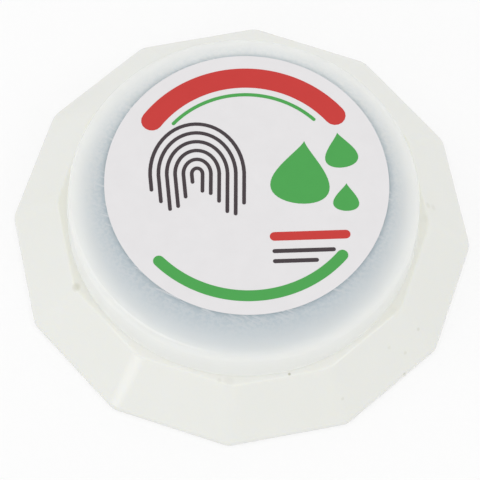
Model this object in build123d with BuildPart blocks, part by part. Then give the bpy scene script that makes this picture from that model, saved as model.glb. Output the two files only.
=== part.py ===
from build123d import *
import os
from math import atan2, cos, pi, sin, tan

# Finger moistener: a twelve-sided pot of moistening gel under a round push-on lid with a paper label.
# Millimetres, +Z up. The origin is at the middle of the underside, on the surface that the pot stands on.

# Lid: a round cap with a rolled shoulder, which stands on the deck
lid_diameter = 49.3
lid_height = 8.15
lid_wall = 1.1
lid_top_wall = 1.2
lid_draft = 0.3
shoulder_round = 3.8
inner_shoulder_round = 3.0
lid_foot_round = 0.12

# Skirt: a low upright foot, sloping facets above it and a flat deck with a narrow ledge round the lid
facet_count = 12
foot_across_corners = 65.0
band_inset = 0.08
band_height = 0.8
deck_height = 6.95
ledge_width = 0.7
skirt_wall = 1.6
deck_wall = 1.5
ridge_round = 4.5
ridge_foot_round = 3.5
corner_round = 1.5
band_round = 0.6
deck_edge_round = 0.5
foot_edge_round = 0.3

# Neck and cup: the lid is pushed over the neck, and the cup goes down inside the skirt
lid_clearance = 0.3
neck_height = 3.9
neck_wall = 1.35
rim_round = 0.7
rim_inner_round = 0.4
bead_height = 2.3
bead_round = 0.6
bead_clearance = 0.05
floor_height = 3.3
floor_thickness = 1.3
floor_round = 1.0
floor_edge_round = 0.5

# Gel: it fills the lower part of the cup and climbs a little at the wall
gel_depth = 5.7
gel_clearance = 0.1
meniscus_rise = 0.4
meniscus_width = 1.5

# Label: a paper disc stuck on the flat top of the lid, a little off its middle
label_diameter = 39.4
label_thickness = 0.1
label_shift_x = 0.26
label_shift_y = 0.75

# Lid, neck and cup radii, from the outside inwards
lid_radius = lid_diameter / 2
lid_bore = lid_radius - lid_wall
neck_radius = lid_bore - lid_clearance
cup_radius = neck_radius - neck_wall
gel_radius = cup_radius - gel_clearance
bead_radius = lid_bore - bead_clearance - bead_round

# Heights above the surface that the pot stands on
lid_top = deck_height + lid_height
lid_underside = lid_top - lid_top_wall
rim_height = deck_height + neck_height
gel_top = floor_height + gel_depth
ceiling_height = deck_height - deck_wall

# Distances from the axis to the middle of a facet, outside
foot_flat = foot_across_corners / 2 * cos(pi / facet_count)
band_flat = foot_flat - band_inset
deck_flat = lid_radius + ledge_width

# Inside the skirt, the wall's thickness is measured square to the facets
facet_slope = atan2(deck_height - band_height, band_flat - deck_flat)
facet_run = 1 / tan(facet_slope)
facet_wall = skirt_wall / sin(facet_slope)


def facet_inside(height):
    """Distance from the axis to the middle of a facet's inner face at a height."""
    return band_flat - (height - band_height) * facet_run - facet_wall


# the corners are crisp at the foot and the ridges grow softer towards the deck
outer_sections = [
    (0, foot_flat, corner_round),
    (band_height, band_flat, ridge_foot_round),
    (deck_height, deck_flat, ridge_round),
]
hollow_sections = [
    (0, facet_inside(0)),
    (ceiling_height, facet_inside(ceiling_height)),
]

# Pot: skirt, deck, neck and cup in one moulding, open underneath
with BuildPart() as pot:
    for height, flat_radius, rounding in outer_sections:
        with BuildSketch(Plane.XY.offset(height)) as outline:
            RegularPolygon(flat_radius, facet_count, major_radius=False)
            fillet(outline.vertices(), rounding)
    loft(ruled=True)
    fillet(pot.edges().filter_by_position(Axis.Z, band_height, band_height), band_round)
    fillet(pot.faces().sort_by(Axis.Z)[-1].edges(), deck_edge_round)
    fillet(pot.faces().sort_by(Axis.Z)[0].edges(), foot_edge_round)
    for height, flat_radius in hollow_sections:
        with BuildSketch(Plane.XY.offset(height)):
            RegularPolygon(flat_radius, facet_count, major_radius=False)
    loft(ruled=True, mode=Mode.SUBTRACT)
    # the deck opens where the cup hangs through it
    with BuildSketch(Plane.XY.offset(deck_height)):
        Circle(neck_radius - neck_wall / 2)
    extrude(amount=-deck_height, mode=Mode.SUBTRACT)
    with BuildSketch(Plane.XZ):
        with BuildLine():
            FilletPolyline(
                (0, floor_height - floor_thickness),
                (neck_radius, floor_height - floor_thickness),
                (neck_radius, rim_height),
                (cup_radius, rim_height),
                (cup_radius, floor_height),
                (0, floor_height),
                radius=[0, floor_edge_round, rim_round, rim_inner_round, floor_round, 0],
                close=True,
            )
        make_face()
    revolve(axis=Axis.Z)
    # a low bead round the neck is what the lid grips
    with BuildSketch(Plane.XZ):
        with Locations((bead_radius, deck_height + bead_height)):
            Circle(bead_round)
    revolve(axis=Axis.Z)
pot.part.label = "pot"

# Gel
with BuildPart() as gel:
    with BuildSketch(Plane.XZ):
        with BuildLine():
            FilletPolyline(
                (gel_radius, gel_top + meniscus_rise),
                (gel_radius, floor_height),
                (0, floor_height),
                (0, gel_top),
                (gel_radius - meniscus_width, gel_top),
                radius=[floor_round, 0, 0],
            )
            TangentArc(
                (gel_radius - meniscus_width, gel_top),
                (gel_radius, gel_top + meniscus_rise),
                tangent=(1, 0),
            )
        make_face()
    revolve(axis=Axis.Z)
gel.part.label = "gel"

# Lid
with BuildPart() as lid:
    with BuildSketch(Plane.XZ):
        with BuildLine():
            FilletPolyline(
                (0, lid_underside),
                (lid_bore, lid_underside),
                (lid_bore, deck_height),
                (lid_radius, deck_height),
                (lid_radius - lid_draft, lid_top),
                (0, lid_top),
                radius=[0, inner_shoulder_round, lid_foot_round, lid_foot_round, shoulder_round, 0],
                close=True,
            )
        make_face()
    revolve(axis=Axis.Z)
lid.part.label = "lid"

# Label
with BuildPart() as label:
    with BuildSketch(Plane.XY.offset(lid_top)):
        with Locations((label_shift_x, label_shift_y)):
            Circle(label_diameter / 2)
    extrude(amount=label_thickness)
label.part.label = "label"

os.makedirs("parts", exist_ok=True)
for piece in (pot, gel, lid, label):
    export_step(piece.part, f"parts/{piece.part.label}.step")
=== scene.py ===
"""Finger moistener: the finishes, the gel, the printed label and the studio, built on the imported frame."""

import math

import bmesh
import bpy
from bpy.props import FloatProperty, FloatVectorProperty, PointerProperty
from mathutils import Matrix, Vector


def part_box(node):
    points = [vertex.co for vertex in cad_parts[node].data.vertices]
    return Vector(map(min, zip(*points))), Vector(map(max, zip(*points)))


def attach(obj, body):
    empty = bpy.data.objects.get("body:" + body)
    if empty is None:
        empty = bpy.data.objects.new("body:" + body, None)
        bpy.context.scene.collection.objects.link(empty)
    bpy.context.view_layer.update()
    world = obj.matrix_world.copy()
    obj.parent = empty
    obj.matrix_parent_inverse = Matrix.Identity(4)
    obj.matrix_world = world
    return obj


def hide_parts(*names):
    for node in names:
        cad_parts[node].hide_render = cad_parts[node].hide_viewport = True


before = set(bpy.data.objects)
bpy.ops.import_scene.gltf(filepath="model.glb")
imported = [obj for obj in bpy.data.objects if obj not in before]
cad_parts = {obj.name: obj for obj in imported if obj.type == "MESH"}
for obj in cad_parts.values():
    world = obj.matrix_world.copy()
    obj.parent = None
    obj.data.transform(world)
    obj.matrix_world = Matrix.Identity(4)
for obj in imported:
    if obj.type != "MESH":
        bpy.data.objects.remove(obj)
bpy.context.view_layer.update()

bl_info = {
    "name": "Finger Moistener",
    "version": (1, 0, 0),
    "blender": (4, 5, 0),
    "location": "View3D > Sidebar > Moistener",
    "description": "Dresses a faceted gel pot with its frosted lid, its gel and its printed label",
    "category": "Object",
}

MM = 0.001
WHITE = (1.0, 1.0, 1.0, 1.0)

# where the CAD nodes are at rest, in metres
label_low, label_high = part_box("label")
lid_low, lid_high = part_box("lid")
gel_low, gel_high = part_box("gel")
label_middle = (label_low + label_high) / 2
label_radius = (label_high.x - label_low.x) / 2

# camera and floor
PHOTO_SIDE = 480
SENSOR_WIDTH = 36.0
CAMERA_NEAR = 0.01
CAMERA_FAR = 20.0
FLOOR_REACH = 4.0
FLOOR_GAP = 0.02 * MM

# softboxes: name, bearing and elevation in degrees, width and height in metres, and watts
LAMP_DISTANCE = 0.9
SOFTBOXES = (
    ("softbox_front", 228.0, 18.0, 0.36, 0.16, 0.42),
    ("softbox_right", 340.0, 45.0, 0.18, 0.18, 0.42),
    ("softbox_left", 180.0, 42.0, 0.45, 0.20, 0.38),
)

# ledge of the pot, with painted light on it and painted shade at its ends: how far under the lid's foot that
# tone begins and is full, and its fade past the lid
LEDGE_TONE_LOW = 0.12 * MM
LEDGE_TONE_FULL = 0.02 * MM
LEDGE_FADE = 0.3 * MM

# dirt on the pot, and painted shade at the ledge's corners in the four wide faint marks at bearings 266, 269,
# 328 and 2: bearing in degrees, distance from the axis, height and radius in millimetres, and strength
LEDGE = lid_low.z / MM
POT_MARKS = (
    (210, 25.9, LEDGE, 0.75, 0.34),
    (7, 27.0, 5.6, 0.60, 0.13),
    (7, 26.1, 6.4, 0.60, 0.16),
    (288, 25.1, LEDGE, 0.26, 0.80),
    (330, 29.4, 3.8, 0.36, 0.24),
    (320, 28.0, 4.4, 0.34, 0.14),
    (323, 29.8, 2.7, 0.34, 0.20),
    (301, 29.8, 3.2, 0.32, 0.18),
    (266, 25.5, LEDGE, 0.40, 0.14),
    (269, 25.5, LEDGE, 0.95, 0.09),
    (328, 25.7, LEDGE, 0.90, 0.05),
    (2, 25.6, LEDGE, 0.80, 0.06),
)
# the share of a mark's radius that has its full strength, and the strength of scattered dust
MARK_CORE = 0.4
DUST_STRENGTH = 0.55

# lid: strength of its hairlines, and how steeply the painted shade at the label's edge fades
HAIRLINE_STRENGTH = 0.9
LABEL_EDGE_SHADE_POWER = 2.5

# gel: steps of its mesh, and how fast its waves turn along x and along y, in radians per metre
GEL_SEGMENTS = 96
GEL_RINGS = 26
GEL_CLIMB_STEPS = 8
GEL_CORNER_STEPS = 6
BROAD_WAVE = (310.0, 120.0)
BROAD_SWAY = (-90.0, 270.0)
CROSS_WAVE = (200.0, 520.0)
CROSS_SHARE = 0.5
WAVE_POWER = 4

# label: steps of its mesh, the share of its thickness that its edge is rounded by, and how matt it is
LABEL_SEGMENTS = 192
LABEL_EDGE_SHARE = 0.4
PAPER_ROUGHNESS = 0.46
INK_ROUGHNESS = 0.40

# print: steps of its curves
CAP_STEPS = 8
BAND_STEPS = 64
DROP_STEPS = 48
RIDGE_STEPS = 28

# a printed drop: its half width as a share of its height, before its point narrows it
DROP_FULLNESS = 0.62
DROP_POINT_POWER = 1.6

# fingertip ridges from the inside out: lengths of each arch's left and right leg, in millimetres
RIDGE_LEGS = ((1.2, 2.6), (3.4, 3.0), (4.8, 4.2), (5.2, 5.8), (4.0, 6.2), (2.2, 4.6))
RIDGE_FIRST_RADIUS = 0.75
RIDGE_SPACING = 1.15
RIDGE_WIDTH = 0.52
RIDGE_STRETCH = 1.18
RIDGE_LEAN = 0.05


def colour_property(name, description, default):
    """A linear colour that a user can pick."""
    return FloatVectorProperty(
        name=name, description=description, default=default, subtype="COLOR", size=3, min=0.0, max=1.0
    )


def length_property(name, description, default):
    """A length in metres."""
    return FloatProperty(name=name, description=description, default=default, unit="LENGTH", precision=5)


def share_property(name, description, default):
    """A share from 0 to 1."""
    return FloatProperty(
        name=name, description=description, default=default, subtype="FACTOR", min=0.0, max=1.0
    )


def angle_property(name, description, degrees):
    """An angle, given in degrees."""
    return FloatProperty(
        name=name, description=description, default=math.radians(degrees), subtype="ANGLE"
    )


def number_property(name, description, default):
    """A plain number that isn't below zero."""
    return FloatProperty(name=name, description=description, default=default, min=0.0)


class PotSettings(bpy.types.PropertyGroup):
    """Finish of the moulded pot."""

    colour: colour_property("Plastic", "Cream-white of the moulded pot", (0.845, 0.852, 0.815))
    deep_colour: colour_property("Thick plastic", "Tone where the moulding is thicker", (0.828, 0.836, 0.792))
    # painted light: the ledge round the lid's foot is paler to lift its shade; painted shade: its left and
    # right ends, the crevices by the lid, are darker and yellower
    ledge_colour: colour_property("Ledge", "Paler plastic that the lid's foot rubs", (0.872, 0.877, 0.836))
    handled_colour: colour_property("Handled", "Ledge where fingers lift the lid", (0.836, 0.843, 0.778))
    handled_from: length_property("Handled from", "Where the handled ledge begins, to each side", 16.0 * MM)
    handled_to: length_property("Handled to", "Where the ledge is all handled, to each side", 22.5 * MM)
    # also the colour of the painted shade at the ledge's corners
    dirt_colour: colour_property("Dirt", "Colour of the odd speck of dust", (0.46, 0.45, 0.33))
    roughness: share_property("Roughness", "Gloss of the moulded skin", 0.21)
    roughness_spread: share_property("Spread", "How far the gloss varies to either side", 0.02)


class LidSettings(bpy.types.PropertyGroup):
    """Finish of the frosted lid."""

    colour: colour_property("Plastic", "Milky white of the lid's rim", (0.985, 0.995, 0.990))
    # painted shade: the flat top is darker and bluer towards the label, for the shade under the label seen
    # through the lid, where it is also scuffed
    flat_colour: colour_property("Flat top", "Bluish tone of the scuffed flat top", (0.822, 0.872, 0.894))
    scratch_colour: colour_property("Scratches", "Tone of the fine scratches on the lid", (1.0, 1.0, 1.0))
    # painted shade in a ring round the label's edge
    grime_colour: colour_property("Grime", "Dust caught at the label's edge", (0.56, 0.63, 0.66))
    grime_width: length_property("Grime width", "Width of the dusty ring round the label", 1.1 * MM)
    roughness: share_property("Rim roughness", "Gloss of the lid's rim", 0.85)
    flat_roughness: share_property("Flat roughness", "How far the flat top blurs what is behind it", 0.95)
    clearness: share_property("Clearness", "Share of the view that goes through the lid", 0.55)
    glow: share_property("Glow", "Share of the light that reaches what is under the lid", 0.95)
    # between these radii the scuffs and the painted shade of the flat top fade out
    flat_radius: length_property("Flat radius", "Where the scuffed flat top begins to fade", 19.2 * MM)
    rim_radius: length_property("Rim radius", "Where the scuffs have faded out", 22.6 * MM)
    crest_radius: length_property("Crest radius", "Outer edge of a polished shoulder line", 24.1 * MM)
    crest_width: length_property("Crest width", "Width of that line, seen from above", 0.2 * MM)
    crest_height: length_property("Crest height", "How far the line's outer edge stands up", 0.12 * MM)
    crest_roughness: share_property("Crest roughness", "Gloss of that line", 0.35)
    crest_worn_from: length_property("Crest worn from", "Where that line begins to be worn away", -8.0 * MM)
    crest_worn_to: length_property("Crest worn to", "Where most of that line is worn away", 6.0 * MM)
    crest_worn_share: share_property("Crest left", "Share of that line that is left where it is worn", 0.15)


class GelSettings(bpy.types.PropertyGroup):
    """The gel's surface and colour."""

    colour: colour_property("Gel", "Tint of the clear gel", (0.375, 0.505, 0.585))
    bed_colour: colour_property("Gel bed", "Cup seen through the gel's depth", (0.355, 0.485, 0.565))
    bed_shade: share_property("Bed shade", "Brightness of the bed's darker patches", 0.9)
    # the gel is paler towards the wall, partly for its thin edge and partly as painted shade left in its
    # middle under the label; edge right paints shade on its right side
    edge_colour: colour_property("Gel edge", "Thin gel near the cup's pale wall", (0.545, 0.655, 0.735))
    edge_start: length_property("Edge start", "Where the gel begins to grow paler", 15.0 * MM)
    edge_right: share_property("Edge right", "Share of the pale edge that shows at the right", 0.45)
    swell: length_property("Swell", "Height of the gentle waves on the gel", 0.12 * MM)
    bed_lift: length_property("Bed lift", "Gap that keeps the gel clear of the cup's floor", 0.05 * MM)
    wall_reach: length_property("Wall reach", "How far the gel spreads towards the cup's wall", 0.07 * MM)
    rise: length_property("Rise", "How far the gel climbs at the wall", 0.4 * MM)
    rise_width: length_property("Rise width", "Width of the ring where the gel climbs", 1.5 * MM)
    corner: length_property("Corner", "Rounding between the gel's wall and its bed", 1.0 * MM)


class LabelSettings(bpy.types.PropertyGroup):
    """The paper disc and what is printed on it."""

    paper: colour_property("Paper", "Satin white of the label paper", (0.82, 0.805, 0.815))
    red: colour_property("Red ink", "Warm red of the print", (0.60, 0.035, 0.030))
    green: colour_property("Green ink", "Leaf green of the print", (0.065, 0.38, 0.075))
    grey: colour_property("Grey ink", "Dark grey of the print", (0.050, 0.036, 0.042))
    glow: share_property("Paper glow", "Share of the light that goes through the paper", 0.3)
    ink_thickness: length_property("Ink film", "Thickness of the printed ink", 0.02 * MM)
    glue_gap: length_property("Glue line", "Gap between the paper and the lid", 0.01 * MM)
    turn: angle_property("Turn", "How far the print is turned on the lid", 6.0)


class StudioSettings(bpy.types.PropertyGroup):
    """Camera, lamps and floor."""

    elevation: angle_property("Elevation", "Camera above the horizon", 66.0)
    roll: angle_property("Roll", "Camera roll", 3.65)
    distance: length_property("Distance", "Camera to the origin along the view", 448.0 * MM)
    offset_right: length_property("Offset right", "Origin right of the picture's middle", 0.25 * MM)
    offset_up: length_property("Offset up", "Origin above the picture's middle", 1.04 * MM)
    focal_pixels: number_property("Focal length", "Focal length in photo pixels", 3148.0)
    sky: number_property("Sky", "Brightness of the even light all round", 0.895)
    backdrop: number_property("Backdrop", "Brightness of the backdrop", 0.985)
    card_colour: colour_property("Floor", "Pale card under the pot", (0.88, 0.88, 0.88))
    card_shade: colour_property("Floor shade", "Darker patches of that card", (0.875, 0.875, 0.875))
    card_seen: colour_property("Floor seen", "Colour of that card under its glow", (0.35, 0.35, 0.35))
    card_glow: number_property("Floor glow", "Glow of that card where a ray sees it", 0.64)


class MoistenerSettings(bpy.types.PropertyGroup):
    """Everything that a user would change."""

    pot: PointerProperty(type=PotSettings)
    lid: PointerProperty(type=LidSettings)
    gel: PointerProperty(type=GelSettings)
    label: PointerProperty(type=LabelSettings)
    studio: PointerProperty(type=StudioSettings)


def settings():
    """The settings that are kept in the scene."""
    return bpy.context.scene.finger_moistener


def opaque(colour):
    """A colour with a full alpha, as shader sockets take it."""
    return (*colour, 1.0)


def add_node(tree, kind, inputs=None, **attributes):
    """Adds a node, sets its attributes, and sets or links its inputs."""
    node = tree.nodes.new(kind)
    for name, value in attributes.items():
        setattr(node, name, value)
    for key, value in (inputs or {}).items():
        if isinstance(value, bpy.types.NodeSocket):
            tree.links.new(value, node.inputs[key])
        else:
            node.inputs[key].default_value = value
    return node


def math_node(tree, operation, first, second=0.0, third=0.0):
    """The output of a Math node on up to three values or sockets."""
    return add_node(tree, "ShaderNodeMath", {0: first, 1: second, 2: third}, operation=operation).outputs[0]


def map_range(tree, value, low, high, to_low, to_high):
    """A value mapped from one range to another, kept inside it."""
    inputs = {"Value": value, "From Min": low, "From Max": high, "To Min": to_low, "To Max": to_high}
    return add_node(tree, "ShaderNodeMapRange", inputs).outputs["Result"]


def rising(tree, value, start, end):
    """0 up to a start, 1 past an end, and even in between."""
    return map_range(tree, value, start, end, 0.0, 1.0)


def falling(tree, value, start, end):
    """1 up to a start, 0 past an end, and even in between."""
    return map_range(tree, value, start, end, 1.0, 0.0)


def between(tree, share, low, high):
    """A share from 0 to 1 turned into a number between two others."""
    return map_range(tree, share, 0.0, 1.0, low, high)


def mix_colour(tree, share, first, second):
    """Two colours mixed by a share."""
    inputs = {0: share, 6: first, 7: second}
    return add_node(tree, "ShaderNodeMix", inputs, data_type="RGBA").outputs[2]


def new_group(name, inputs, outputs):
    """A shader node group with named value sockets, its input node and its output node."""
    group = bpy.data.node_groups.new(name, "ShaderNodeTree")
    group.interface.new_socket("Vector", in_out="INPUT", socket_type="NodeSocketVector")
    for socket_name, default in inputs.items():
        socket = group.interface.new_socket(socket_name, in_out="INPUT", socket_type="NodeSocketFloat")
        socket.default_value = default
    for socket_name in outputs:
        group.interface.new_socket(socket_name, in_out="OUTPUT", socket_type="NodeSocketFloat")
    return group, group.nodes.new("NodeGroupInput"), group.nodes.new("NodeGroupOutput")


def surface_grain_group():
    """Fine grain over slow waves, for moulded plastic and for paper."""
    group, given, made = new_group(
        "surface_grain", {"Fine scale": 4000.0, "Wave scale": 120.0}, ("Height", "Tone")
    )
    fine = add_node(group, "ShaderNodeTexNoise", {
        "Vector": given.outputs["Vector"], "Scale": given.outputs["Fine scale"], "Detail": 2.0,
    })
    wave = add_node(group, "ShaderNodeTexNoise", {
        "Vector": given.outputs["Vector"], "Scale": given.outputs["Wave scale"], "Detail": 3.0,
    })
    wave_share = 0.7
    fine_share = 0.3
    wave_height = math_node(group, "MULTIPLY", wave.outputs["Fac"], wave_share)
    height = math_node(group, "MULTIPLY_ADD", fine.outputs["Fac"], fine_share, wave_height)
    group.links.new(height, made.inputs["Height"])
    group.links.new(rising(group, wave.outputs["Fac"], 0.2, 0.8), made.inputs["Tone"])
    return group


def fine_scratches_group():
    """Short hairlines in one direction, broken up by a slow noise."""
    group, given, made = new_group(
        "fine_scratches", {"Scale": 900.0, "Stretch": 14.0, "Turn": 0.0}, ("Mask",)
    )
    turned = add_node(group, "ShaderNodeVectorRotate", {
        "Vector": given.outputs["Vector"], "Angle": given.outputs["Turn"],
    }, rotation_type="Z_AXIS")
    stretch = add_node(group, "ShaderNodeCombineXYZ", {0: 1.0, 1: given.outputs["Stretch"], 2: 1.0})
    squeezed = add_node(group, "ShaderNodeVectorMath", {
        0: turned.outputs["Vector"], 1: stretch.outputs["Vector"],
    }, operation="MULTIPLY")
    lines = add_node(group, "ShaderNodeTexNoise", {
        "Vector": squeezed.outputs["Vector"], "Scale": given.outputs["Scale"], "Detail": 1.0,
    })
    patches = add_node(group, "ShaderNodeTexNoise", {"Vector": given.outputs["Vector"], "Scale": 260.0})
    # only the peaks of the stretched noise are hairlines, and only in the lighter patches
    thin = rising(group, lines.outputs["Fac"], 0.54, 0.66)
    kept = rising(group, patches.outputs["Fac"], 0.40, 0.58)
    group.links.new(math_node(group, "MULTIPLY", thin, kept), made.inputs["Mask"])
    return group


def specks_group():
    """A few round specks: one cell in so many holds one."""
    group, given, made = new_group("specks", {"Scale": 300.0, "Share": 0.05, "Size": 0.1}, ("Mask",))
    cells = add_node(group, "ShaderNodeTexVoronoi", {
        "Vector": given.outputs["Vector"], "Scale": given.outputs["Scale"],
    })
    draw = add_node(group, "ShaderNodeSeparateColor", {"Color": cells.outputs["Color"]})
    chosen = math_node(group, "LESS_THAN", draw.outputs["Red"], given.outputs["Share"])
    reach = math_node(group, "MULTIPLY", given.outputs["Size"], draw.outputs["Green"])
    near = math_node(group, "SUBTRACT", reach, cells.outputs["Distance"])
    soft = rising(group, near, 0.0, 0.05)
    group.links.new(math_node(group, "MULTIPLY", soft, chosen), made.inputs["Mask"])
    return group


def shared_group(make):
    """The node group that a function makes, built once."""
    name = make.__name__.removesuffix("_group")
    return bpy.data.node_groups.get(name) or make()


def place_group(tree, make, vector, values):
    """Puts a shared effect in a material with its own values."""
    return add_node(tree, "ShaderNodeGroup", {"Vector": vector, **values}, node_tree=shared_group(make))


def new_material(name, constants):
    """A material with a Principled shader whose plain values are set on its own sockets."""
    material = bpy.data.materials.new(name)
    material.use_nodes = True
    tree = material.node_tree
    tree.nodes.clear()
    shader = add_node(tree, "ShaderNodeBsdfPrincipled", constants)
    output = tree.nodes.new("ShaderNodeOutputMaterial")
    tree.links.new(shader.outputs["BSDF"], output.inputs["Surface"])
    where = tree.nodes.new("ShaderNodeTexCoord").outputs["Object"]
    return material, tree, shader, where


def add_bump(tree, shader, height, strength, depth):
    """Feeds a height to the shader's normal, on top of a bump that is there already."""
    bump = add_node(tree, "ShaderNodeBump", {"Strength": strength, "Distance": depth, "Height": height})
    for link in shader.inputs["Normal"].links:
        tree.links.new(link.from_socket, bump.inputs["Normal"])
    tree.links.new(bump.outputs["Normal"], shader.inputs["Normal"])


def coordinate(tree, where, axis):
    """One coordinate of a place."""
    return add_node(tree, "ShaderNodeSeparateXYZ", {0: where}).outputs[axis]


def axis_distance(tree, where):
    """Distance from the pot's axis."""
    level = add_node(tree, "ShaderNodeVectorMath", {0: where, 1: (1.0, 1.0, 0.0)}, operation="MULTIPLY")
    length = add_node(tree, "ShaderNodeVectorMath", {0: level.outputs["Vector"]}, operation="LENGTH")
    return length.outputs["Value"]


def light_rays(tree):
    """1 for rays that bring light to a surface, and 0 for rays that see one."""
    path = tree.nodes.new("ShaderNodeLightPath")
    return math_node(tree, "MAXIMUM", path.outputs["Is Shadow Ray"], path.outputs["Is Diffuse Ray"])


def marks_mask(tree, where, marks):
    """The strongest of a few soft round marks at every point."""
    mask = 0.0
    for bearing, distance, height, radius, strength in marks:
        around = math.radians(bearing)
        centre = Vector((distance * math.cos(around), distance * math.sin(around), height)) * MM
        gap = add_node(tree, "ShaderNodeVectorMath", {0: where, 1: centre}, operation="DISTANCE")
        core = MARK_CORE * radius * MM
        spot = map_range(tree, gap.outputs["Value"], core, radius * MM, strength, 0.0)
        mask = math_node(tree, "MAXIMUM", spot, mask)
    return mask


def ledge_mask(tree, where):
    """1 on the flat ledge that shows round the lid, and 0 on the rest of the pot."""
    height = coordinate(tree, where, "Z")
    at_deck = rising(tree, height, lid_low.z - LEDGE_TONE_LOW, lid_low.z - LEDGE_TONE_FULL)
    past_lid = rising(tree, axis_distance(tree, where), lid_high.x, lid_high.x + LEDGE_FADE)
    return math_node(tree, "MULTIPLY", at_deck, past_lid)


def pot_material(look):
    """Cream-white moulded plastic that lets a little light in, with painted light on its ledge, painted shade
    at the ledge's ends and corners, and a little dirt.
    """
    material, tree, shader, where = new_material("pot_plastic", {
        "IOR": 1.49, "Subsurface Weight": 0.25, "Subsurface Scale": 0.0012,
        "Subsurface Radius": (1.0, 0.9, 0.65), "Specular IOR Level": 0.45,
    })
    grain = place_group(tree, surface_grain_group, where, {"Fine scale": 5200.0, "Wave scale": 95.0})
    dust = place_group(tree, specks_group, where, {"Scale": 210.0, "Share": 0.05, "Size": 0.11})
    plastic = mix_colour(tree, grain.outputs["Tone"], opaque(look.colour), opaque(look.deep_colour))
    # painted shade on the ledge's left and right ends, painted light on the rest of the ledge
    aside = math_node(tree, "ABSOLUTE", coordinate(tree, where, "X"))
    ledge_shade = rising(tree, aside, look.handled_from, look.handled_to)
    painted_ledge = mix_colour(tree, ledge_shade, opaque(look.ledge_colour), opaque(look.handled_colour))
    plastic = mix_colour(tree, ledge_mask(tree, where), plastic, painted_ledge)
    specks = math_node(tree, "MULTIPLY", dust.outputs["Mask"], DUST_STRENGTH)
    # dust specks and dirt, and painted shade at the ledge's corners
    dirt_and_shade = math_node(tree, "MAXIMUM", specks, marks_mask(tree, where, POT_MARKS))
    tree.links.new(mix_colour(tree, dirt_and_shade, plastic, opaque(look.dirt_colour)), shader.inputs["Base Color"])
    glossy, matt = look.roughness - look.roughness_spread, look.roughness + look.roughness_spread
    tree.links.new(between(tree, grain.outputs["Tone"], glossy, matt), shader.inputs["Roughness"])
    add_bump(tree, shader, grain.outputs["Height"], strength=0.06, depth=0.05 * MM)
    return material


def label_grime(tree, where, look):
    """Painted shade round the label's edge, darkest where the label's edge stands up from the lid."""
    from_label = add_node(tree, "ShaderNodeVectorMath", {0: where, 1: label_middle}, operation="SUBTRACT")
    from_middle = axis_distance(tree, from_label.outputs["Vector"])
    near_label = falling(tree, from_middle, label_radius, label_radius + look.grime_width)
    return math_node(tree, "POWER", near_label, LABEL_EDGE_SHADE_POWER)


def shoulder_line(tree, where, from_axis, look):
    """Height and shine of a polished line round the lid's shoulder."""
    # the line rises from its inner edge, and outside it the plastic falls gently to the wall
    inner_edge = look.crest_radius - look.crest_width
    rise = rising(tree, from_axis, inner_edge, look.crest_radius)
    fall = falling(tree, from_axis, look.crest_radius, lid_high.x)
    past_edge = math_node(tree, "GREATER_THAN", rise, 0.0)
    before_crest = math_node(tree, "LESS_THAN", from_axis, look.crest_radius)
    line = math_node(tree, "MULTIPLY", past_edge, before_crest)
    # it is crisp on the lid's left side and worn away towards its right
    across = coordinate(tree, where, "X")
    crisp = map_range(tree, across, look.crest_worn_from, look.crest_worn_to, 1.0, look.crest_worn_share)
    height = math_node(tree, "MULTIPLY", math_node(tree, "MINIMUM", rise, fall), crisp)
    shine = math_node(tree, "MULTIPLY", line, crisp)
    return height, shine


def lid_material(look):
    """Milky, slightly blue plastic that blurs what is behind it, with hairlines, a few white specks, and
    painted shade on its flat top that is darkest round the label.
    """
    material, tree, shader, where = new_material("lid_plastic", {
        "IOR": 1.7, "Transmission Weight": look.clearness, "Specular IOR Level": 0.3,
    })
    grain = place_group(tree, surface_grain_group, where, {"Fine scale": 5200.0, "Wave scale": 2100.0})
    scratches = place_group(tree, fine_scratches_group, where, {"Scale": 420.0, "Stretch": 7.0, "Turn": 0.35})
    dust = place_group(tree, specks_group, where, {"Scale": 330.0, "Share": 0.08, "Size": 0.16})
    from_axis = axis_distance(tree, where)
    scuff_and_shade = falling(tree, from_axis, look.flat_radius, look.rim_radius)
    # the grain's tone stays near its middle, so it is spread out to mottle the scuffs and the painted shade
    mottle = map_range(tree, grain.outputs["Tone"], 0.32, 0.68, 0.35, 1.35)
    wear_and_shade = math_node(tree, "MULTIPLY", scuff_and_shade, mottle)
    hairlines = math_node(tree, "MULTIPLY", scratches.outputs["Mask"], scuff_and_shade)
    # painted shade: the flat top darker, bluer and mottled towards the label
    milk_and_shade = mix_colour(tree, wear_and_shade, opaque(look.colour), opaque(look.flat_colour))
    # painted shade, darkest just round the label's edge
    milk_and_shade = mix_colour(tree, label_grime(tree, where, look), milk_and_shade, opaque(look.grime_colour))
    marks = math_node(tree, "MULTIPLY_ADD", hairlines, HAIRLINE_STRENGTH, dust.outputs["Mask"])
    tree.links.new(mix_colour(tree, marks, milk_and_shade, opaque(look.scratch_colour)), shader.inputs["Base Color"])
    crest, shine = shoulder_line(tree, where, from_axis, look)
    frost = between(tree, wear_and_shade, look.roughness, look.flat_roughness)
    polish = math_node(tree, "MULTIPLY", shine, look.roughness - look.crest_roughness)
    tree.links.new(math_node(tree, "SUBTRACT", frost, polish), shader.inputs["Roughness"])
    height = math_node(tree, "SUBTRACT", grain.outputs["Height"], hairlines)
    add_bump(tree, shader, height, strength=0.10, depth=0.03 * MM)
    add_bump(tree, shader, crest, strength=1.0, depth=look.crest_height)
    # a ray inside the wall leaves it freely, so the wall scatters light once and not at both of its skins,
    # and most of the light goes on to what is under the lid
    behind = tree.nodes.new("ShaderNodeNewGeometry").outputs["Backfacing"]
    passed = math_node(tree, "MULTIPLY", light_rays(tree), look.glow)
    free = math_node(tree, "MAXIMUM", behind, passed)
    tree.links.new(math_node(tree, "SUBTRACT", 1.0, free), shader.inputs["Alpha"])
    return material


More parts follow.
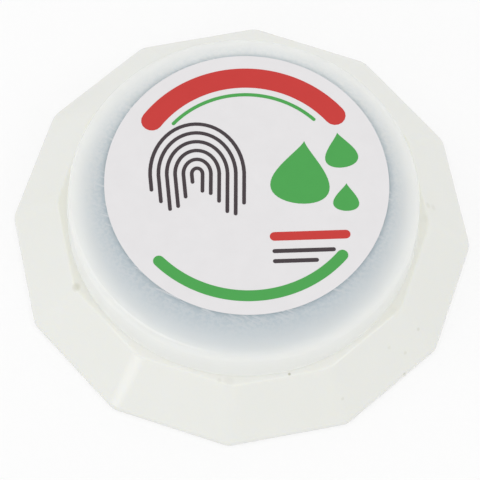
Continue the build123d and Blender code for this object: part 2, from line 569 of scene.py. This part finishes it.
def gel_surface_material(look):
    """Wet clear gel, paler towards the cup's wall where it is thin, with painted shade in its middle under
    the label and on its right side.
    """
    material, tree, shader, where = new_material("gel_surface", {
        "IOR": 1.42, "Subsurface Weight": 0.5, "Subsurface Scale": 0.002,
        "Subsurface Radius": (0.8, 1.0, 1.1),
    })
    grain = place_group(tree, surface_grain_group, where, {"Fine scale": 900.0, "Wave scale": 160.0})
    tint = mix_colour(tree, grain.outputs["Tone"], opaque(look.colour), opaque(look.bed_colour))
    # paler towards the wall, partly where the gel is thin and partly as painted shade left in its middle
    # under the label
    near_wall = rising(tree, axis_distance(tree, where), look.edge_start, gel_high.x)
    # painted shade: the pale edge shows less on the fill's right side
    left_light_share = map_range(tree, coordinate(tree, where, "X"), gel_low.x, gel_high.x, 1.0, look.edge_right)
    thin = math_node(tree, "MULTIPLY", near_wall, left_light_share)
    tree.links.new(mix_colour(tree, thin, tint, opaque(look.edge_colour)), shader.inputs["Base Color"])
    tree.links.new(between(tree, grain.outputs["Tone"], 0.05, 0.10), shader.inputs["Roughness"])
    add_bump(tree, shader, grain.outputs["Height"], strength=0.25, depth=0.10 * MM)
    return material


def gel_bed_material(look):
    """The cup's floor and wall as the gel colours them."""
    material, tree, shader, where = new_material("gel_bed", {"Roughness": 0.7, "Specular IOR Level": 0.0})
    grain = place_group(tree, surface_grain_group, where, {"Fine scale": 700.0, "Wave scale": 130.0})
    deep = tuple(look.bed_shade * part for part in look.bed_colour)
    bed = mix_colour(tree, grain.outputs["Tone"], opaque(look.bed_colour), opaque(deep))
    tree.links.new(bed, shader.inputs["Base Color"])
    return material


def paper_surface(name, colour, roughness):
    """Coated paper, or ink on it: fibre tone, fibre bump and a satin skin."""
    material, tree, shader, where = new_material(name, {"IOR": 1.46, "Specular IOR Level": 0.4})
    fibre = place_group(tree, surface_grain_group, where, {"Fine scale": 5200.0, "Wave scale": 420.0})
    worn_share = 0.965
    worn = tuple(part * worn_share for part in colour)
    tone = mix_colour(tree, fibre.outputs["Tone"], opaque(colour), opaque(worn))
    tree.links.new(tone, shader.inputs["Base Color"])
    spread = 0.06
    gloss = map_range(tree, fibre.outputs["Height"], 0.3, 0.7, roughness - spread, roughness + spread)
    tree.links.new(gloss, shader.inputs["Roughness"])
    add_bump(tree, shader, fibre.outputs["Height"], strength=0.10, depth=0.02 * MM)
    return material, tree, shader


def label_material(look):
    """White label paper that lets some of the light through to what is under it."""
    material, tree, shader = paper_surface("label_paper", look.paper, PAPER_ROUGHNESS)
    passed = math_node(tree, "MULTIPLY", light_rays(tree), look.glow)
    tree.links.new(math_node(tree, "SUBTRACT", 1.0, passed), shader.inputs["Alpha"])
    return material


def ink_material(ink, colour):
    """Ink on the label's paper."""
    return paper_surface("ink_" + ink, colour, INK_ROUGHNESS)[0]


def new_piece(name, bm, materials):
    """A mesh object from a finished bmesh, with its normals outward."""
    bmesh.ops.recalc_face_normals(bm, faces=bm.faces)
    mesh = bpy.data.meshes.new(name)
    bm.to_mesh(mesh)
    bm.free()
    for material in materials:
        mesh.materials.append(material)
    piece = bpy.data.objects.new(name, mesh)
    bpy.context.scene.collection.objects.link(piece)
    return piece


def lathe(profile, segments, lift=None):
    """A closed bmesh turned from (radius, height) points that start and end on the axis."""
    bm = bmesh.new()
    rings = []
    for radius, height in profile:
        count = 1 if radius == 0 else segments
        ring = []
        for step in range(count):
            angle = math.tau * step / segments
            x, y = radius * math.cos(angle), radius * math.sin(angle)
            z = height + lift(x, y, height) if lift else height
            ring.append(bm.verts.new((x, y, z)))
        rings.append(ring)
    for first, second in zip(rings, rings[1:]):
        for step in range(segments):
            following = (step + 1) % segments
            corners = [
                first[step % len(first)], first[following % len(first)],
                second[following % len(second)], second[step % len(second)],
            ]
            # a ring on the axis is one point, and a face takes it once
            bm.faces.new(dict.fromkeys(corners))
    return bm


def arc_points(centre, radius, start, end, steps):
    """Points on an arc in a plane, angles in degrees."""
    points = []
    for step in range(steps + 1):
        angle = math.radians(start + (end - start) * step / steps)
        points.append((centre[0] + radius * math.cos(angle), centre[1] + radius * math.sin(angle)))
    return points


def set_only_material(node, material):
    """Gives a CAD node one material of the scene's own."""
    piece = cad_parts[node]
    piece.data.materials.clear()
    piece.data.materials.append(material)


class MOISTENER_OT_pot(bpy.types.Operator):
    """Finish the moulded pot"""

    bl_idname = "moistener.pot"
    bl_label = "Pot finish"

    def execute(self, context):
        set_only_material("pot", pot_material(settings().pot))
        return {"FINISHED"}


class MOISTENER_OT_lid(bpy.types.Operator):
    """Finish the frosted lid"""

    bl_idname = "moistener.lid"
    bl_label = "Lid finish"

    def execute(self, context):
        set_only_material("lid", lid_material(settings().lid))
        return {"FINISHED"}


def gel_profile(look, radius, bed, top):
    """The gel's section from the middle of its bed, up its wall and back to the middle of its top."""
    corner_centre = (radius - look.corner, bed + look.corner)
    profile = [(0.0, bed)]
    profile += arc_points(corner_centre, look.corner, -90, 0, GEL_CORNER_STEPS)
    inner = radius - look.rise_width
    for step in range(GEL_CLIMB_STEPS, -1, -1):
        share = step / GEL_CLIMB_STEPS
        profile.append((inner + look.rise_width * share, top + look.rise * share * share))
    for step in range(GEL_RINGS - 1, 0, -1):
        profile.append((inner * step / GEL_RINGS, top))
    profile.append((0.0, top))
    return profile


def wave_angle(wave, x, y):
    """How far a wave has turned at a place, in radians."""
    return wave[0] * x + wave[1] * y


class MOISTENER_OT_gel(bpy.types.Operator):
    """Fill the cup with gel that climbs at the wall and lies in gentle waves"""

    bl_idname = "moistener.gel"
    bl_label = "Gel fill"

    def execute(self, context):
        look = settings().gel
        radius = (gel_high.x - gel_low.x) / 2 + look.wall_reach
        bed = gel_low.z + look.bed_lift
        top = gel_high.z - look.rise

        def waves(x, y, height):
            """How far a point of the gel's top is lifted, less and less towards the wall."""
            if height <= top - look.swell:
                return 0.0
            reach = max(0.0, 1.0 - (math.hypot(x, y) / radius) ** WAVE_POWER)
            broad = math.sin(wave_angle(BROAD_WAVE, x, y)) * math.cos(wave_angle(BROAD_SWAY, x, y))
            cross = CROSS_SHARE * math.sin(wave_angle(CROSS_WAVE, x, y))
            return look.swell * (broad + cross) * reach

        bm = lathe(gel_profile(look, radius, bed, top), GEL_SEGMENTS, waves)
        lowest_surface = top - 2 * look.swell
        for face in bm.faces:
            face.smooth = True
            face.material_index = int(face.calc_center_median().z < lowest_surface)
        fill = new_piece("gel_fill", bm, [gel_surface_material(look), gel_bed_material(look)])
        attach(fill, "pot")
        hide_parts("gel")
        return {"FINISHED"}


class MOISTENER_OT_label(bpy.types.Operator):
    """Stick the paper disc on the lid"""

    bl_idname = "moistener.label"
    bl_label = "Label paper"

    def execute(self, context):
        look = settings().label
        base = label_low.z + look.glue_gap
        face = label_high.z - look.ink_thickness
        edge = (face - base) * LABEL_EDGE_SHARE
        profile = [
            (0.0, base),
            (label_radius - edge, base),
            (label_radius, base + edge),
            (label_radius, face - edge),
            (label_radius - edge, face),
            (0.0, face),
        ]
        bm = lathe(profile, LABEL_SEGMENTS)
        bmesh.ops.translate(bm, vec=(label_middle.x, label_middle.y, 0.0), verts=bm.verts)
        paper = new_piece("label_paper", bm, [label_material(look)])
        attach(paper, "lid")
        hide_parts("label")
        return {"FINISHED"}


def stroke_outline(points, width):
    """The outline of a line of even width with round ends, through points."""
    half = width / 2
    left, right = [], []
    for index, point in enumerate(points):
        before = Vector(points[max(index - 1, 0)])
        after = Vector(points[min(index + 1, len(points) - 1)])
        along = (after - before).normalized()
        across = Vector((-along.y, along.x)) * half
        left.append(tuple(Vector(point) + across))
        right.append(tuple(Vector(point) - across))

    def cap(centre, start):
        """The points of a round end between the two sides."""
        return arc_points(centre, half, start, start - 180, CAP_STEPS)[1:-1]

    first = Vector(points[0]) - Vector(points[1])
    last = Vector(points[-1]) - Vector(points[-2])
    end_cap = cap(points[-1], math.degrees(math.atan2(last.y, last.x)) + 90)
    start_cap = cap(points[0], math.degrees(math.atan2(first.y, first.x)) + 90)
    return left + end_cap + right[::-1] + start_cap


def rule_outline(left, right, height, width):
    """A level rule with round ends."""
    return stroke_outline([(left, height), (right, height)], width)


def ring_band(radius, width, start, end):
    """A band of a ring about the label's middle, angles in degrees."""
    return stroke_outline(arc_points((0, 0), radius, start, end, BAND_STEPS), width)


def drop_outline(centre, height, lean):
    """A falling drop with its point upward, leaning by an angle in degrees."""
    outline = []
    turn = math.radians(lean)
    for step in range(DROP_STEPS):
        angle = math.tau * step / DROP_STEPS
        x = DROP_FULLNESS * height * math.sin(angle) * math.sin(angle / 2) ** DROP_POINT_POWER
        y = height / 2 * math.cos(angle)
        outline.append((
            centre[0] + x * math.cos(turn) - y * math.sin(turn),
            centre[1] + x * math.sin(turn) + y * math.cos(turn),
        ))
    return outline


def ridge_outlines(centre):
    """The ridges of a fingertip, as nested arches whose legs end at different heights."""
    outlines = []
    for index, (left_leg, right_leg) in enumerate(RIDGE_LEGS):
        radius = RIDGE_FIRST_RADIUS + RIDGE_SPACING * index
        half_circle = arc_points(centre, radius, 180, 0, RIDGE_STEPS)
        arch = [(x, centre[1] + (y - centre[1]) * RIDGE_STRETCH) for x, y in half_circle]
        left_foot = (arch[0][0] + RIDGE_LEAN * left_leg, centre[1] - left_leg)
        right_foot = (arch[-1][0] - RIDGE_LEAN * right_leg, centre[1] - right_leg)
        outlines.append(stroke_outline([left_foot, *arch, right_foot], RIDGE_WIDTH))
    return outlines


def red_print():
    """A broad arc at the head of the label and a short rule below its middle."""
    return [
        ring_band(radius=16.2, width=3.0, start=38, end=142),
        rule_outline(left=3.4, right=13.2, height=-8.2, width=1.3),
    ]


def green_print():
    """Three drops, a slim arc under the head and a broad arc at the foot."""
    return [
        drop_outline(centre=(7.6, 1.4), height=9.6, lean=-8),
        drop_outline(centre=(13.2, 4.6), height=5.4, lean=6),
        drop_outline(centre=(13.6, -2.6), height=4.2, lean=-4),
        ring_band(radius=13.6, width=0.5, start=44, end=136),
        ring_band(radius=16.9, width=1.6, start=222, end=318),
    ]


def grey_print():
    """A fingertip's ridges and two short rules."""
    return ridge_outlines(centre=(-6.8, 1.6)) + [
        rule_outline(left=3.3, right=11.4, height=-10.4, width=0.6),
        rule_outline(left=3.3, right=9.0, height=-11.9, width=0.6),
    ]


def add_film(bm, outline, low, high):
    """A closed film of ink over an outline in millimetres."""
    base = [bm.verts.new((x * MM, y * MM, low)) for x, y in outline]
    face = [bm.verts.new((x * MM, y * MM, high)) for x, y in outline]
    bm.faces.new(base[::-1])
    bm.faces.new(face)
    for index in range(len(outline)):
        following = (index + 1) % len(outline)
        bm.faces.new((base[index], base[following], face[following], face[index]))


class MOISTENER_OT_print(bpy.types.Operator):
    """Print the label's plain design in three inks"""

    bl_idname = "moistener.print"
    bl_label = "Label print"

    def execute(self, context):
        look = settings().label
        top = label_high.z
        middle = Matrix.Translation((label_middle.x, label_middle.y, 0.0))
        place = middle @ Matrix.Rotation(look.turn, 4, "Z")
        for ink, outlines, colour in (
            ("red", red_print(), look.red),
            ("green", green_print(), look.green),
            ("grey", grey_print(), look.grey),
        ):
            bm = bmesh.new()
            for outline in outlines:
                add_film(bm, outline, top - look.ink_thickness, top)
            bmesh.ops.transform(bm, matrix=place, verts=bm.verts)
            film = new_piece("label_print_" + ink, bm, [ink_material(ink, colour)])
            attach(film, "lid")
        return {"FINISHED"}


def seen_rays(tree):
    """1 for rays that see the backdrop itself: from the camera, off gloss or through the lid."""
    path = tree.nodes.new("ShaderNodeLightPath")
    seen = math_node(tree, "MAXIMUM", path.outputs["Is Camera Ray"], path.outputs["Is Glossy Ray"])
    return math_node(tree, "MAXIMUM", seen, path.outputs["Is Transmission Ray"])


def floor_material(look):
    """Pale card that keeps the pot's shadow, with a glow where a ray sees it."""
    material, tree, shader, where = new_material("floor_card", {
        "Roughness": 0.9, "Specular IOR Level": 0.0, "Emission Color": WHITE,
    })
    grain = place_group(tree, surface_grain_group, where, {"Fine scale": 900.0, "Wave scale": 14.0})
    seen = seen_rays(tree)
    card = mix_colour(tree, grain.outputs["Tone"], opaque(look.card_colour), opaque(look.card_shade))
    tree.links.new(mix_colour(tree, seen, card, opaque(look.card_seen)), shader.inputs["Base Color"])
    tree.links.new(math_node(tree, "MULTIPLY", seen, look.card_glow), shader.inputs["Emission Strength"])
    return material


def add_floor(look):
    """A wide card just under the pot."""
    bm = bmesh.new()
    corners = ((-1, -1), (1, -1), (1, 1), (-1, 1))
    bm.faces.new([bm.verts.new((x * FLOOR_REACH, y * FLOOR_REACH, -FLOOR_GAP)) for x, y in corners])
    new_piece("floor", bm, [floor_material(look)])


def add_sky(scene, look):
    """Even light all round, with a brightness of its own where a ray sees it."""
    world = bpy.data.worlds.new("even_light")
    world.use_nodes = True
    tree = world.node_tree
    tree.nodes.clear()
    strength = between(tree, seen_rays(tree), look.sky, look.backdrop)
    sky = add_node(tree, "ShaderNodeBackground", {"Color": WHITE, "Strength": strength})
    output = tree.nodes.new("ShaderNodeOutputWorld")
    tree.links.new(sky.outputs["Background"], output.inputs["Surface"])
    scene.world = world


def add_softbox(scene, name, bearing, elevation, width, height, power):
    """A panel of light that faces the pot, at a bearing round from +X and an elevation in degrees."""
    lamp = bpy.data.lights.new(name, "AREA")
    lamp.shape = "RECTANGLE"
    lamp.size = width
    lamp.size_y = height
    lamp.energy = power
    around, above = math.radians(bearing), math.radians(elevation)
    level = math.cos(above)
    away = Vector((level * math.cos(around), level * math.sin(around), math.sin(above)))
    holder = bpy.data.objects.new(name, lamp)
    holder.location = away * LAMP_DISTANCE
    holder.rotation_euler = away.to_track_quat("Z", "Y").to_euler()
    scene.collection.objects.link(holder)


def add_camera(scene, look):
    """A camera that stands where the photo was taken from."""
    lens = bpy.data.cameras.new("photo_camera")
    lens.sensor_width = SENSOR_WIDTH
    lens.lens = look.focal_pixels / PHOTO_SIDE * SENSOR_WIDTH
    lens.clip_start = CAMERA_NEAR
    lens.clip_end = CAMERA_FAR
    sine, cosine = math.sin(look.elevation), math.cos(look.elevation)
    level_right, level_up = Vector((1.0, 0.0, 0.0)), Vector((0.0, sine, cosine))
    back = Vector((0.0, -cosine, sine))
    right = math.cos(look.roll) * level_right + math.sin(look.roll) * level_up
    up = math.cos(look.roll) * level_up - math.sin(look.roll) * level_right
    place = back * look.distance - right * look.offset_right - up * look.offset_up
    axes = Matrix((right, up, back)).transposed().to_4x4()
    holder = bpy.data.objects.new("photo_camera", lens)
    holder.matrix_world = Matrix.Translation(place) @ axes
    scene.collection.objects.link(holder)
    scene.camera = holder


class MOISTENER_OT_studio(bpy.types.Operator):
    """Set up the floor, the even light, three softboxes and the camera"""

    bl_idname = "moistener.studio"
    bl_label = "Studio"

    def execute(self, context):
        look = settings().studio
        context.scene.view_settings.view_transform = "Standard"
        add_floor(look)
        add_sky(context.scene, look)
        for softbox in SOFTBOXES:
            add_softbox(context.scene, *softbox)
        add_camera(context.scene, look)
        return {"FINISHED"}


class MOISTENER_PT_sidebar(bpy.types.Panel):
    """Sizes, colours and steps of the finger moistener"""

    bl_idname = "MOISTENER_PT_sidebar"
    bl_label = "Finger Moistener"
    bl_space_type = "VIEW_3D"
    bl_region_type = "UI"
    bl_category = "Moistener"

    def draw(self, context):
        look = context.scene.finger_moistener
        for part, operators in (
            (look.pot, (MOISTENER_OT_pot,)),
            (look.lid, (MOISTENER_OT_lid,)),
            (look.gel, (MOISTENER_OT_gel,)),
            (look.label, (MOISTENER_OT_label, MOISTENER_OT_print)),
            (look.studio, (MOISTENER_OT_studio,)),
        ):
            box = self.layout.box()
            for name in part.__annotations__:
                box.prop(part, name)
            for operator in operators:
                box.operator(operator.bl_idname)


CLASSES = (
    PotSettings,
    LidSettings,
    GelSettings,
    LabelSettings,
    StudioSettings,
    MoistenerSettings,
    MOISTENER_OT_pot,
    MOISTENER_OT_lid,
    MOISTENER_OT_gel,
    MOISTENER_OT_label,
    MOISTENER_OT_print,
    MOISTENER_OT_studio,
    MOISTENER_PT_sidebar,
)


def register():
    """Makes the settings, operators and panel known."""
    for kind in CLASSES:
        bpy.utils.register_class(kind)
    bpy.types.Scene.finger_moistener = PointerProperty(type=MoistenerSettings)


def unregister():
    """Takes the settings, operators and panel away again."""
    del bpy.types.Scene.finger_moistener
    for kind in reversed(CLASSES):
        bpy.utils.unregister_class(kind)


def main():
    register()
    bpy.ops.moistener.pot()
    bpy.ops.moistener.lid()
    bpy.ops.moistener.gel()
    bpy.ops.moistener.label()
    bpy.ops.moistener.print()
    bpy.ops.moistener.studio()


if __name__ == "__main__":
    main()
